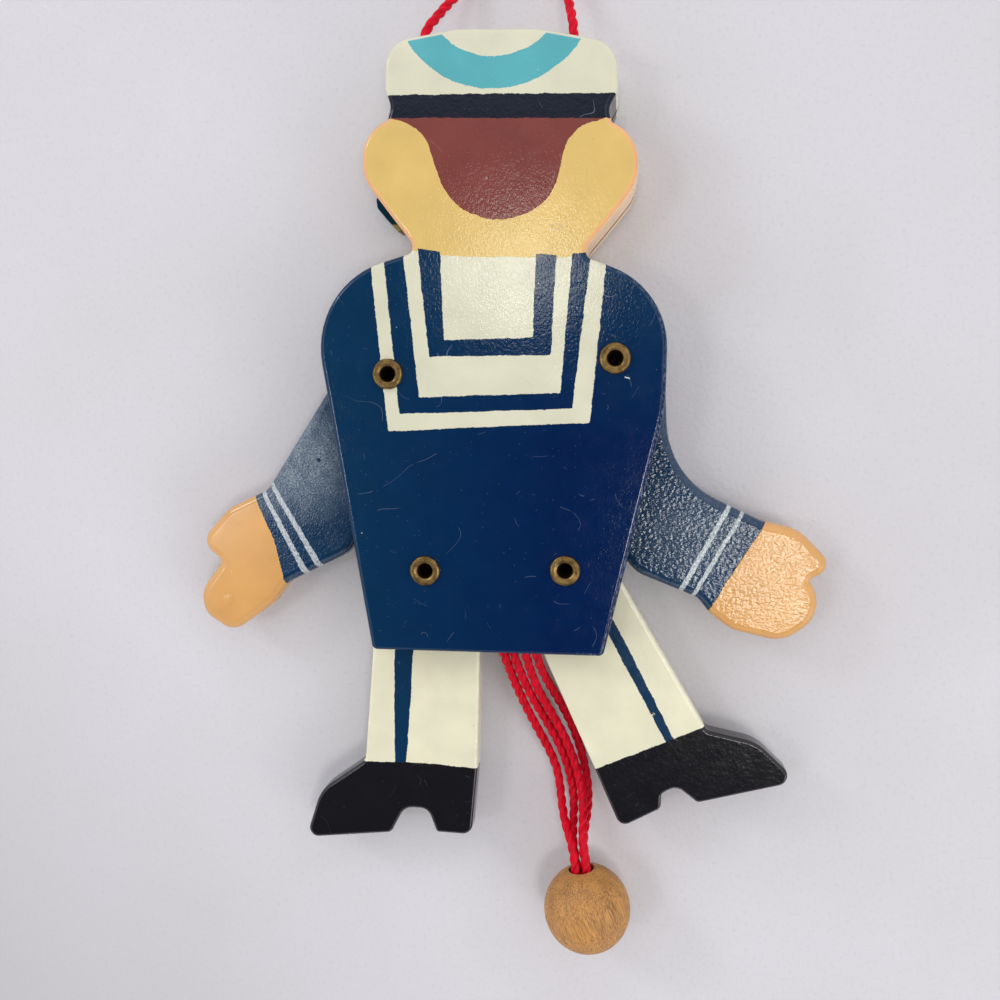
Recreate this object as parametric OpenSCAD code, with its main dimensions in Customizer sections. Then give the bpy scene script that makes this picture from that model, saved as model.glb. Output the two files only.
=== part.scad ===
// Pull-string jumping jack: a painted wooden sailor of two flat plates, with four limbs that swing between them.
// It lies on its face, as it does on a table. X points to the right as seen from the back, which is the sailor's own
// right, Y to the cap and Z up, away from the table. The origin is on the table, below the middle of the toy.

/* [Plates] */
// Thickness of the front and the back plate
plate_t = 4.5; // [3:0.5:6]
// Width of the torso at its shoulders
torso_w = 71; // [68:0.2:76]
// Height of the torso
torso_h = 80.6; // [78:0.2:86]
// Radius of each corner of the lower edge
hem_r = 1.2; // [0.4:0.2:4]

/* [Head] */
// Width of the cap
cap_w = 45.2; // [40:0.2:50]
// Height of the head above the shoulders
head_h = 42.9; // [38:0.2:48]
// Distance from the middle of the torso to the middle of the head
head_shift = 2.2; // [0:0.1:4]
// Drop of the head towards its right side, as a share of the distance from its middle
head_drop_share = 0.043; // [0:0.001:0.08]
// Height of the neck block that is glued between the plates, below the shoulders
neck_block_h = 4.6; // [2:0.1:5]

/* [Limbs] */
// Thickness of the arms and legs
limb_t = 5; // [4:0.5:7]
// Length of an arm from its eyelet to the fingertips
arm_l = 68; // [62:1:72]
// Length of a leg from its eyelet to the sole
leg_l = 62; // [58:1:66]
// Play between a limb and the front plate
limb_play = 0.2; // [0.1:0.05:0.5]
// Turn of the left arm away from straight down
left_arm_turn = 38; // [34:1:50]
// Turn of the right arm away from straight down
right_arm_turn = 31; // [30:1:45]
// Turn of the left leg away from straight down
left_leg_turn = 3; // [1:1:20]
// Turn of the right leg away from straight down
right_leg_turn = 25; // [24:1:32]

/* [Eyelet places] */
// Distance of the left arm's eyelet from the middle of the torso
left_arm_x = 20.3; // [18:0.1:24]
// Height of the left arm's eyelet above the torso's lower edge
left_arm_y = 57.2; // [54:0.1:62]
// Distance of the right arm's eyelet from the middle of the torso
right_arm_x = 25.5; // [22:0.1:27]
// Height of the right arm's eyelet above the torso's lower edge
right_arm_y = 60.1; // [56:0.1:62]
// Distance of the left leg's eyelet from the middle of the torso
left_leg_x = 12.9; // [12:0.1:16]
// Height of the left leg's eyelet above the torso's lower edge
left_leg_y = 17; // [14:0.1:20]
// Distance of the right leg's eyelet from the middle of the torso
right_leg_x = 15.9; // [15:0.1:18]
// Height of the right leg's eyelet above the torso's lower edge
right_leg_y = 17.6; // [14:0.1:20]

/* [Eyelets] */
// Outer radius of an eyelet's barrel
barrel_r = 1.6; // [1.4:0.05:2]
// Thickness of an eyelet's sheet
eyelet_wall = 0.35; // [0.2:0.05:0.5]
// Radius of an eyelet's rolled rim
rim_r = 3.15; // [2.8:0.05:3.8]
// Height of an eyelet's rolled rim
rim_t = 0.8; // [0.6:0.1:1.2]
// Clearance between a barrel and the holes in the plates
plate_fit = 0.05; // [0.03:0.01:0.1]
// Running clearance between a barrel and the hole in a limb
limb_fit = 0.1; // [0.06:0.01:0.15]

/* [Pull] */
// Distance that the ball is pulled down
pull_travel = 10; // [6:0.5:11]
// Distance of an arm's string hole from its eyelet
arm_lever = 8.5; // [8:0.1:9]
// Distance of the left leg's string hole from its eyelet
left_leg_lever = 8.5; // [8:0.1:9]
// Distance of the right leg's string hole from its eyelet
right_leg_lever = 10; // [9:0.1:10.2]
// Radius of the wooden ball
ball_r = 9.3; // [8:0.1:11]
// Depth of the ball's drilled hole
ball_bore_h = 5; // [4:0.5:8]
// Turn of the ball's hole away from straight up the toy
ball_turn = 8.5; // [0:0.5:12]

/* [Cords] */
// Diameter of the twisted cord
cord_d = 2; // [1.6:0.1:2.2]
// Height of the slot for the strings between the limbs and the back plate
slot_h = 2.3; // [2.3:0.1:3]
// Radius of a stopper knot
knot_r = 1.9; // [1.6:0.05:1.9]
// Height of a stopper knot
knot_h = 2.2; // [1.8:0.1:2.4]
// Clearance around a cord in its hole
cord_fit = 0.15; // [0.05:0.05:0.2]
// Clearance around a stopper knot in its pocket
knot_fit = 0.1; // [0.05:0.05:0.2]

/* [Place] */
// Place of the torso's lower edge along X
torso_x = -2.2; // [-10:0.1:10]
// Place of the torso's lower edge along Y
torso_y = -28.4; // [-40:0.1:-20]
// Place of the ball along X
ball_x = 18.5; // [14:0.1:22]
// Place of the ball along Y
ball_y = -86; // [-90:0.1:-84]

/* [Hidden] */
$fn = 96;
// Largest turn between two points of an arc, in degrees
arc_step = 6;
// Overrun of every cut
over = 1;
// Sides of a cord's tube
cord_sides = 8;
// Steps of a string's curve between two points of its route, and of the hanging cord's, whose points are closer
string_steps = 2;
loop_steps = 1;
cord_r = cord_d / 2;
front_z = rim_t;
gap_z = front_z + plate_t;
limb_z = gap_z + limb_play;
slot_z = limb_z + limb_t;
back_z = slot_z + slot_h;
top_z = back_z + plate_t;
string_z = slot_z + slot_h / 2;
// Pocket in a limb's front face that holds a stopper knot
pocket_h = knot_h + 2 * knot_fit;
left_arm_place = [torso_x - left_arm_x, torso_y + left_arm_y];
right_arm_place = [torso_x + right_arm_x, torso_y + right_arm_y];
left_leg_place = [torso_x - left_leg_x, torso_y + left_leg_y];
right_leg_place = [torso_x + right_leg_x, torso_y + right_leg_y];

// Corners of the torso's right side, from its lower edge to its shoulder: [across, up, corner], across as a share of
// half the torso's width, up and corner as shares of its height
torso_right_shares = [
  [0.668, 0, 0],
  [0.997, 0.62, 0.37],
  [1.01, 0.913, 0.21]
];
// Corners of the left side, from its shoulder down
torso_left_shares = [
  [-1.04, 0.932, 0.223],
  [-0.686, 0, 0]
];
// Right half of the head from the neck to the crown: [across, up, corner], across as a share of half the cap's
// width, up and corner as shares of the head's height
head_shares = [
  [0.77, 0.045, 0.07],
  [0.94, 0.155, 0.2],
  [1.21, 0.335, 0.21],
  [1.21, 0.55, 0.21],
  [0.98, 0.6, 0.01],
  [0.95, 0.66, 0.08],
  [1.03, 0.74, 0.05],
  [1.01, 0.945, 0.13],
  [0.36, 1.005, 0.46]
];
// Left half of the head, whose cap is a little narrower
head_left_shares = [
  [0.77, 0.045, 0.07],
  [0.94, 0.155, 0.2],
  [1.21, 0.335, 0.21],
  [1.21, 0.55, 0.21],
  [0.98, 0.6, 0.01],
  [0.95, 0.66, 0.08],
  [1, 0.74, 0.04],
  [0.99, 0.945, 0.13],
  [0.36, 1.005, 0.46]
];
// Neck's corner with the shoulder, by the same shares
neck_shares = [0.77, 0, 0.035];
// End of the cap's ribbon that shows past the left ear, by the same shares, on the left of the head's middle
ribbon_shares = [
  [0.93, 0.17, 0.01],
  [1, 0.135, 0.01],
  [1.12, 0.2, 0.03],
  [1.21, 0.255, 0.03],
  [1.22, 0.3, 0.02],
  [1.1, 0.36, 0.01]
];
// Corners of the left arm: [outwards, up, corner], as shares of the arm's length from its eyelet
left_arm_shares = [
  [0.175, 0.168, 0.166],
  [0.113, -0.545, 0.06],
  [0.178, -0.672, 0.09],
  [0.19, -0.821, 0.047],
  [0.094, -0.824, 0.018],
  [0.092, -0.95, 0.088],
  [0.037, -1, 0.066],
  [-0.074, -0.99, 0.059],
  [-0.122, -0.824, 0.118],
  [-0.118, -0.743, 0.044],
  [-0.215, -0.544, 0.088],
  [-0.199, -0.294, 0.294],
  [-0.171, 0.168, 0.166]
];
// Corners of the right arm, which is sawn a little differently
right_arm_shares = [
  [0.159, 0.146, 0.144],
  [0.15, -0.03, 0.1],
  [-0.04, -0.385, 0.27],
  [0.13, -0.64, 0.1],
  [0.213, -0.72, 0.12],
  [0.247, -0.872, 0.04],
  [0.162, -0.866, 0.012],
  [0.165, -0.98, 0.1],
  [0, -0.992, 0.1],
  [-0.112, -0.885, 0.09],
  [-0.143, -0.81, 0.05],
  [-0.15, -0.75, 0.059],
  [-0.274, -0.588, 0.1],
  [-0.287, -0.45, 0.2],
  [-0.2, -0.12, 0.3],
  [-0.171, 0.146, 0.144]
];
// Corners of the left leg, as shares of the leg's length from its eyelet
left_leg_shares = [
  [0.181, 0.202, 0.169],
  [0.206, -0.713, 0.04],
  [0.366, -0.84, 0.145],
  [0.413, -1.021, 0.032],
  [0.103, -0.969, 0.024],
  [0.058, -0.871, 0.052],
  [-0.026, -0.869, 0.042],
  [-0.061, -0.95, 0.013],
  [-0.185, -0.947, 0.035],
  [-0.194, -0.71, 0.13],
  [-0.169, 0.202, 0.161]
];
// Corners of the right leg
right_leg_shares = [
  [0.115, 0.202, 0.129],
  [0.196, -0.705, 0.03],
  [0.332, -0.805, 0.145],
  [0.402, -0.981, 0.036],
  [0.065, -0.923, 0.02],
  [0.024, -0.844, 0.04],
  [-0.035, -0.848, 0.024],
  [-0.058, -0.895, 0.024],
  [-0.213, -0.906, 0.032],
  [-0.208, -0.689, 0.24],
  [-0.197, 0.202, 0.161]
];

// Routes of the cords, in millimetres on the table's frame
left_arm_route = [
  [-15.3, 32.8, 11.65], [-14.4, 30, 11.65], [1, -25, 11.65], [2.8, -31, 10.2], [5.6, -39.8, 6],
  [9.9, -48.8, 2], [13.8, -57.8, 1.2], [15.2, -66, 2.8], [15.5, -73.6, 8.2], [16.7, -81.7, 8.2]
];
right_arm_route = [
  [16.1, 35.7, 11.65], [15.1, 32.9, 11.65], [1.9, -6, 11.65], [4.3, -25, 11.65], [5.3, -31, 10.2], [7.9, -39.7, 6.4],
  [12, -47.9, 3.8], [15.6, -56.6, 3.4], [17.3, -65, 5.6], [17.7, -73.4, 10.4], [18.9, -81.5, 10.4]
];
left_leg_route = [
  [-7.9, -7.4, 11.65], [-6.8, -10.2, 11.65], [-1.6, -24, 11.65], [0.7, -31, 10.2], [2.4, -37.2, 7],
  [7.5, -49.9, 2], [11.4, -58.9, 1.2], [13.2, -67.2, 5.8], [15.5, -73.6, 10.4], [16.7, -81.7, 10.4]
];
right_leg_route = [
  [5.1, -6.9, 11.65], [5.4, -9.8, 11.65], [6.6, -25, 11.65], [7.6, -31, 10.2], [9.7, -37.4, 6.2],
  [14.2, -47.2, 1.6], [17.6, -58, 1.2], [18.3, -66, 3.2], [17.7, -73.4, 8.2], [18.9, -81.5, 8.2]
];
hanging_route = [
  [-16, 84.4, 9.05], [-16, 97, 9.05], [-14.4, 101, 7.6], [-11.2, 106, 4.6], [-5.6, 113.2, 1.4], [-1.2, 121.2, 1.2],
  [0.8, 129, 1.2], [3.2, 133.8, 1.2], [7, 135.6, 1.2], [10.8, 133.6, 1.2], [12.8, 128.4, 1.2], [12.4, 118, 1.2],
  [12.6, 110, 3.4], [13.2, 103.6, 6.8], [14.3, 96.4, 9.05], [14.3, 83.8, 9.05]
];

// Outlines are lists of corners [x, y, radius]. Each corner becomes an arc that touches both of its sides.
function flat(p) = [p.x, p.y];
function unit(v) = v / norm(v);
function at(list, i) = list[(i + len(list)) % len(list)];
function side_l(c, i) = norm(flat(at(c, i + 1)) - flat(at(c, i)));
function half_angle(c, i) =
  let(back = unit(flat(at(c, i - 1)) - flat(at(c, i))), ahead = unit(flat(at(c, i + 1)) - flat(at(c, i))))
  acos(back * ahead) / 2;
function reach(c, i) = at(c, i)[2] / tan(half_angle(c, i));
// Share of its radius that a corner keeps, so that two neighbours fit on the side between them
function kept(c, i) =
  min(1, side_l(c, i) / (reach(c, i) + reach(c, i + 1)), side_l(c, i - 1) / (reach(c, i) + reach(c, i - 1)));
function turned(v, a) = [v.x * cos(a) - v.y * sin(a), v.x * sin(a) + v.y * cos(a)];
function arc(c, i) =
  let(
    tip = flat(at(c, i)),
    back = unit(flat(at(c, i - 1)) - tip),
    ahead = unit(flat(at(c, i + 1)) - tip),
    half = half_angle(c, i),
    r = at(c, i)[2] * kept(c, i),
    centre = tip + unit(back + ahead) * r / sin(half),
    start = tip + back * r / tan(half) - centre,
    sweep = (180 - 2 * half) * sign(cross(-back, ahead)),
    count = max(1, ceil(abs(sweep) / arc_step))
  )
  [for (k = [0:count]) centre + turned(start, sweep * k / count)];
function rounded(c) = [for (i = [0:len(c) - 1]) each arc(c, i)];
function mirrored(c) = [for (i = [len(c) - 1:-1:0]) [-c[i].x, c[i].y, c[i][2]]];
function scaled(c, l) = [for (p = c) p * l];

// A point of the head, from its shares
function head_corner(p) =
  let(x = p.x * cap_w / 2)
  [head_shift + x, torso_h + p.y * head_h - head_drop_share * x, p[2] * head_h];
function torso_corner(p) = [p.x * torso_w / 2, p.y * torso_h, p.y == 0 ? hem_r : p[2] * torso_h];
function head_corners() = [for (p = concat(head_shares, mirrored(head_left_shares))) head_corner(p)];
function body_corners() = concat(
  [for (p = torso_right_shares) torso_corner(p)],
  [head_corner(neck_shares)],
  head_corners(),
  [head_corner([-neck_shares.x, neck_shares.y, neck_shares[2]])],
  [for (p = torso_left_shares) torso_corner(p)]
);
function neck_block_corner(side) =
  let(p = head_corner([side * neck_shares.x, neck_shares.y, neck_shares[2]]))
  [p.x, torso_h - neck_block_h, p[2]];
function spacer_corners() = concat([neck_block_corner(1)], head_corners(), [neck_block_corner(-1)]);

// A string hole lies half of the limb's sweep above the level of its eyelet, on the inner side
function sweep_of(lever) = 2 * asin(pull_travel / (2 * lever));
function hole_place(place, side, lever) =
  place + lever * [-side * cos(sweep_of(lever) / 2), sin(sweep_of(lever) / 2)];

module torso_frame() {
  translate([torso_x, torso_y]) children();
}

module eyelet_holes(r) {
  for (p = [left_arm_place, right_arm_place, left_leg_place, right_leg_place])
    translate(p) circle(r);
}

module plate(z) {
  translate([0, 0, z])
    linear_extrude(plate_t)
      difference() {
        torso_frame() polygon(rounded(body_corners()));
        eyelet_holes(barrel_r + plate_fit);
      }
}

module limb(place, side, turn, corners, lever) {
  hole = hole_place(place, side, lever);
  difference() {
    translate([place.x, place.y, limb_z])
      mirror([side < 0 ? 1 : 0, 0, 0])
        rotate(turn)
          linear_extrude(limb_t) polygon(rounded(corners));
    translate([place.x, place.y, limb_z - over])
      cylinder(r = barrel_r + limb_fit, h = limb_t + 2 * over);
    translate([hole.x, hole.y, limb_z - over])
      cylinder(r = cord_r + cord_fit, h = limb_t + 2 * over);
    translate([hole.x, hole.y, limb_z - over])
      cylinder(r = knot_r + knot_fit, h = pocket_h + over);
  }
}

// Brass tube with a rolled rim at both ends
module eyelet(place) {
  roll_r = rim_t / 2;
  bore_r = barrel_r - eyelet_wall;
  color("#8a7440")
    translate([place.x, place.y, 0])
      rotate_extrude() {
        translate([bore_r, roll_r]) square([eyelet_wall, top_z]);
        for (z = [0, top_z]) {
          translate([bore_r + roll_r, z]) square([rim_r - bore_r - rim_t, rim_t]);
          for (x = [bore_r + roll_r, rim_r - roll_r])
            translate([x, z + roll_r]) circle(roll_r);
        }
      }
}

// Stopper knot in its pocket, with the short stretch of cord that comes up through the limb
module knot(place, side, lever) {
  hole = hole_place(place, side, lever);
  knot_top = limb_z + pocket_h - knot_fit;
  color("#b01228")
    translate([hole.x, hole.y, 0]) {
      translate([0, 0, knot_top - knot_h])
        rotate_extrude() {
          square([knot_r - knot_h / 2, knot_h]);
          translate([0, knot_h / 2])
            intersection() {
              translate([knot_r - knot_h / 2, 0]) circle(knot_h / 2);
              translate([0, -knot_h / 2]) square([knot_r, knot_h]);
            }
        }
      translate([0, 0, knot_top - knot_h / 2])
        cylinder(r = cord_r, h = string_z + cord_r - knot_top + knot_h / 2);
    }
}

// Curve through the points of a route, straight over its first and last stretch
function between(a, b, c, d, t) =
  (2 * b + (c - a) * t + (2 * a - 5 * b + 4 * c - d) * t ^ 2 + (3 * b - a - 3 * c + d) * t ^ 3) / 2;
function curve(route, steps) =
  let(n = len(route) - 1)
  concat(
    [route[0]],
    [for (i = [1:n - 2], k = [0:steps - 1])
      between(route[i - 1], route[i], route[i + 1], route[i + 2], k / steps)],
    [route[n - 1], route[n]]
  );
function heading(p, i) = unit(p[min(i + 1, len(p) - 1)] - p[max(i - 1, 0)]);
function ring(p, i) =
  let(ahead = heading(p, i), across = unit(cross(ahead, [0, 0, 1])), up = cross(across, ahead))
  [for (k = [0:cord_sides - 1])
    p[i] + cord_r * (across * cos(360 * k / cord_sides) + up * sin(360 * k / cord_sides))];

module cord(route, steps) {
  path = curve(route, steps);
  last = len(path) - 1;
  sides = cord_sides;
  points = [for (i = [0:last]) each ring(path, i)];
  walls = [
    for (i = [0:last - 1], k = [0:sides - 1])
      let(a = i * sides + k, b = i * sides + (k + 1) % sides)
      each [[a, b, b + sides], [a, b + sides, a + sides]]
  ];
  ends = [[for (k = [sides - 1:-1:0]) k], [for (k = [0:sides - 1]) last * sides + k]];
  color("#b01228") polyhedron(points, concat(walls, ends), convexity = 8);
}

module back_plate() {
  color("#16325a") plate(back_z);
}

module front_plate() {
  color("#16325a") {
    plate(front_z);
    translate([0, 0, front_z])
      linear_extrude(plate_t)
        torso_frame() polygon(rounded([for (p = mirrored(ribbon_shares)) head_corner(p)]));
  }
}

module head_spacer() {
  color("#e3b57a")
    difference() {
      translate([0, 0, gap_z])
        linear_extrude(back_z - gap_z)
          torso_frame() polygon(rounded(spacer_corners()));
      for (end = [hanging_route[0], hanging_route[len(hanging_route) - 1]])
        translate(end)
          rotate([-90, 0, 0]) cylinder(r = cord_r + cord_fit / 2, h = head_h);
    }
}

module left_arm() {
  color("#16325a") limb(left_arm_place, -1, left_arm_turn, scaled(left_arm_shares, arm_l), arm_lever);
}

module right_arm() {
  color("#16325a") limb(right_arm_place, 1, right_arm_turn, scaled(right_arm_shares, arm_l), arm_lever);
}

module left_leg() {
  color("#dcd9bd") limb(left_leg_place, -1, left_leg_turn, scaled(left_leg_shares, leg_l), left_leg_lever);
}

module right_leg() {
  color("#dcd9bd") limb(right_leg_place, 1, right_leg_turn, scaled(right_leg_shares, leg_l), right_leg_lever);
}

// Wooden ball that hangs on the four strings, drilled from above
module pull_ball() {
  color("#b08a50")
    translate([ball_x, ball_y, ball_r])
      difference() {
        sphere(ball_r);
        rotate(ball_turn)
          translate([0, ball_r - ball_bore_h, 0])
            rotate([-90, 0, 0]) cylinder(r = cord_d + 2 * cord_fit + cord_r / 2, h = ball_r);
      }
}

back_plate();
front_plate();
head_spacer();
left_arm();
right_arm();
left_leg();
right_leg();
eyelet(left_arm_place);  // left_arm_eyelet
eyelet(right_arm_place);  // right_arm_eyelet
eyelet(left_leg_place);  // left_leg_eyelet
eyelet(right_leg_place);  // right_leg_eyelet
knot(left_arm_place, -1, arm_lever);  // left_arm_knot
knot(right_arm_place, 1, arm_lever);  // right_arm_knot
knot(left_leg_place, -1, left_leg_lever);  // left_leg_knot
knot(right_leg_place, 1, right_leg_lever);  // right_leg_knot
cord(left_arm_route, string_steps);  // left_arm_string
cord(right_arm_route, string_steps);  // right_arm_string
cord(left_leg_route, string_steps);  // left_leg_string
cord(right_leg_route, string_steps);  // right_leg_string
pull_ball();
cord(hanging_route, loop_steps);  // hanging_cord
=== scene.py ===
import math

import bmesh
import bpy
import numpy as np
from mathutils import Matrix, Vector


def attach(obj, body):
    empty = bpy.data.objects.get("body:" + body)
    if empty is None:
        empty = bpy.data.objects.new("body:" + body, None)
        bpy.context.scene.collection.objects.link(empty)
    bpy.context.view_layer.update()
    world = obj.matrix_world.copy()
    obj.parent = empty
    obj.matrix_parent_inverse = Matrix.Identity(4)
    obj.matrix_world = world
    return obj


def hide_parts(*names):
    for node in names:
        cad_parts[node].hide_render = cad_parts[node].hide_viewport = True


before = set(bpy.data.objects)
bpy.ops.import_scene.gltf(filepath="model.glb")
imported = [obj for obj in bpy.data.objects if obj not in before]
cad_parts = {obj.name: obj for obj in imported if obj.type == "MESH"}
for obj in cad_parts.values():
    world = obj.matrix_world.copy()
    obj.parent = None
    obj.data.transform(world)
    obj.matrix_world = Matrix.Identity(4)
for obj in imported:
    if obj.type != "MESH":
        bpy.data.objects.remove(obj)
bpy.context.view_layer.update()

# A painted wooden sailor jumping jack that lies on its face, seen from its back.
# Lengths in the dictionaries are in millimetres, in the frame of the CAD model.
mm = 0.001
scene = bpy.context.scene
limbs = ("left_arm", "right_arm", "left_leg", "right_leg")


def toPoint(place):
    return Vector(place) * mm


# Linear colour of an sRGB hex value
def toLinear(code):
    parts = [int(code[i:i + 2], 16) / 255 for i in (1, 3, 5)]
    return tuple(c / 12.92 if c <= 0.04045 else ((c + 0.055) / 1.055) ** 2.4 for c in parts) + (1.0,)


# Camera of the photograph: 210 mm above the table, a little to the right of the toy and above its middle
photo = {"lens": 34.668, "sensor": 36, "place": (24.35, 21.53, 210), "aim": (-1.7, 1.75, 0), "nearest": 0.01}
lensData = bpy.data.cameras.new("photo_camera")
lensData.lens = photo["lens"]
lensData.sensor_width = photo["sensor"]
lensData.clip_start = photo["nearest"]
camera = bpy.data.objects.new("photo_camera", lensData)
scene.collection.objects.link(camera)
backward = (toPoint(photo["place"]) - toPoint(photo["aim"])).normalized()
upward = (Vector((0, 1, 0)) - backward * backward.y).normalized()
sideways = upward.cross(backward)
camera.matrix_world = Matrix((
    (sideways.x, upward.x, backward.x, photo["place"][0] * mm),
    (sideways.y, upward.y, backward.y, photo["place"][1] * mm),
    (sideways.z, upward.z, backward.z, photo["place"][2] * mm),
    (0, 0, 0, 1),
))
scene.camera = camera


# Adds one node, links or sets its inputs, and returns the wanted output, or the node where out is None
def addNode(tree, kind, inputs=(), out=0, **settings):
    made = tree.nodes.new(kind)
    for name, value in settings.items():
        setattr(made, name, value)
    pairs = inputs.items() if isinstance(inputs, dict) else enumerate(inputs)
    for key, value in pairs:
        if isinstance(value, bpy.types.NodeSocket):
            tree.links.new(value, made.inputs[key])
        else:
            made.inputs[key].default_value = value
    return made if out is None else made.outputs[out]


def calc(tree, operation, *values, **settings):
    return addNode(tree, "ShaderNodeMath", values, operation=operation, **settings)


def times(tree, a, b):
    return calc(tree, "MULTIPLY", a, b)


def vectorCalc(tree, operation, *values, out=0):
    return addNode(tree, "ShaderNodeVectorMath", values, out, operation=operation)


def scaled(tree, vector, factor):
    return addNode(tree, "ShaderNodeVectorMath", {0: vector, "Scale": factor}, operation="SCALE")


def axes(tree, vector):
    return addNode(tree, "ShaderNodeSeparateXYZ", [vector], out=None).outputs


# Blend of two numbers, the second where the mask is 1
def blend(tree, mask, under, over):
    return addNode(tree, "ShaderNodeMix", {0: mask, 2: under, 3: over}, data_type="FLOAT")


# Lays one colour over another where the mask is 1
def cover(tree, mask, under, over):
    under, over = [toLinear(c) if isinstance(c, str) else c for c in (under, over)]
    return addNode(tree, "ShaderNodeMix", {0: mask, 6: under, 7: over}, out=2, data_type="RGBA")


# Straight ramp that takes low to 0 and high to 1
def ramp(tree, value, low, high, to=(0, 1)):
    return addNode(tree, "ShaderNodeMapRange", [value, low, high, to[0], to[1]])


# Ramp between two colours
def tones(tree, share, dark, light):
    made = addNode(tree, "ShaderNodeValToRGB", {"Fac": share}, out=None)
    for stop, colour in zip(made.color_ramp.elements, (dark, light)):
        stop.color = toLinear(colour)
    return made.outputs[0]


def bump(tree, height, distance, strength=0.8):
    return addNode(tree, "ShaderNodeBump", {"Height": height, "Distance": distance * mm, "Strength": strength})


# Place on the object in millimetres
def placeOn(tree):
    return scaled(tree, addNode(tree, "ShaderNodeTexCoord", out="Object"), 1 / mm)


# Noise of a given grain size in millimetres along X, Y and Z
def grain(tree, place, size, detail=2.0, out="Fac", roughness=0.5):
    sizes = (size, size, size) if isinstance(size, (int, float)) else size
    fitted = vectorCalc(tree, "MULTIPLY", place, [1 / s for s in sizes])
    settings = {"Vector": fitted, "Scale": 1, "Detail": detail, "Roughness": roughness}
    return addNode(tree, "ShaderNodeTexNoise", settings, out)


# The same noise, with what lies between two of its values spread over a range
def patches(tree, place, size, detail, span, to=(0, 1), roughness=0.5):
    return ramp(tree, grain(tree, place, size, detail, roughness=roughness), *span, to)


# New material with a Principled shader, whose plain values are set on its own sockets
def newMaterial(name, **values):
    made = bpy.data.materials.new(name)
    made.use_nodes = True
    shader = made.node_tree.nodes["Principled BSDF"]
    for key, value in values.items():
        shader.inputs[key].default_value = value
    return made, made.node_tree, shader


def feed(tree, shader, values):
    for key, value in values.items():
        tree.links.new(value, shader.inputs[key])


# Makes a visible piece of a mesh, which rides a body in the place of a CAD node
def addPiece(name, mesh, material, body, node, normals=None):
    data = bpy.data.meshes.new(name)
    mesh.to_mesh(data)
    mesh.free()
    if normals:
        data.normals_split_custom_set_from_vertices(normals)
    data.materials.append(material)
    piece = bpy.data.objects.new(name, data)
    scene.collection.objects.link(piece)
    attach(piece, body)
    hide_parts(node)
    return piece


# Cords: plied tubes along the routes of the CAD model. The strings run from their string holes to the ball.
# Extra points before the hem keep them level in their slot, clear of the back plate and the limbs.
cordSpec = {"diameter": 2, "plies": 3, "plyShare": 0.53, "lay": 7.2, "around": 27, "step": 0.4, "perStretch": 24}
routes = {
    "left_arm": [
        (-15.3, 32.8, 11.65), (-14.4, 30, 11.65), (-9.08, 11.93, 11.65), (-5.87, -0.03, 11.65),
        (-2.94, -11.04, 11.65), (-0.6, -19.5, 11.65), (1, -25, 11.55), (2.8, -31, 10.2), (5.6, -39.8, 6),
        (9.9, -48.8, 2), (13.8, -57.8, 1.2), (15.2, -66, 2.8), (15.5, -73.6, 8.2), (16.7, -81.7, 8.2)],
    "right_arm": [
        (16.1, 35.7, 11.65), (15.1, 32.9, 11.65), (6.26, 12.07, 11.65), (3.22, 2.96, 11.65), (1.9, -6, 11.65),
        (3.3, -19.42, 11.65), (4.3, -25, 11.55), (5.3, -31, 10.2), (7.9, -39.7, 6.4), (12, -47.9, 3.8),
        (15.6, -56.6, 3.4), (17.3, -65, 5.6), (17.7, -73.4, 10.4), (18.9, -81.5, 10.4)],
    "left_leg": [
        (-7.9, -7.4, 11.65), (-6.8, -10.2, 11.65), (-3.64, -18.41, 11.65), (-1.6, -24, 11.55), (0.7, -31, 10.2),
        (2.4, -37.2, 7), (7.5, -49.9, 2), (11.4, -58.9, 1.2), (13.2, -67.2, 5.8), (15.5, -73.6, 10.4),
        (16.7, -81.7, 10.4)],
    "right_leg": [
        (5.1, -6.9, 11.65), (5.4, -9.8, 11.65), (6.04, -18.46, 11.65), (6.6, -25, 11.55), (7.6, -31, 10.2),
        (9.7, -37.4, 6.2), (14.2, -47.2, 1.6), (17.6, -58, 1.2), (18.3, -66, 3.2), (17.7, -73.4, 8.2),
        (18.9, -81.5, 8.2)],
    "hanging": [
        (-16, 84.4, 9.05), (-16, 97, 9.05), (-14.4, 101, 7.6), (-11.2, 106, 4.6), (-5.6, 113.2, 1.4),
        (-1.2, 121.2, 1.2), (0.8, 129, 1.2), (3.2, 133.8, 1.2), (7, 135.6, 1.2), (10.8, 133.6, 1.2),
        (12.8, 128.4, 1.2), (12.4, 118, 1.2), (12.6, 110, 3.4), (13.2, 103.6, 6.8), (14.3, 96.4, 9.05),
        (14.3, 83.8, 9.05)],
}


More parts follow.
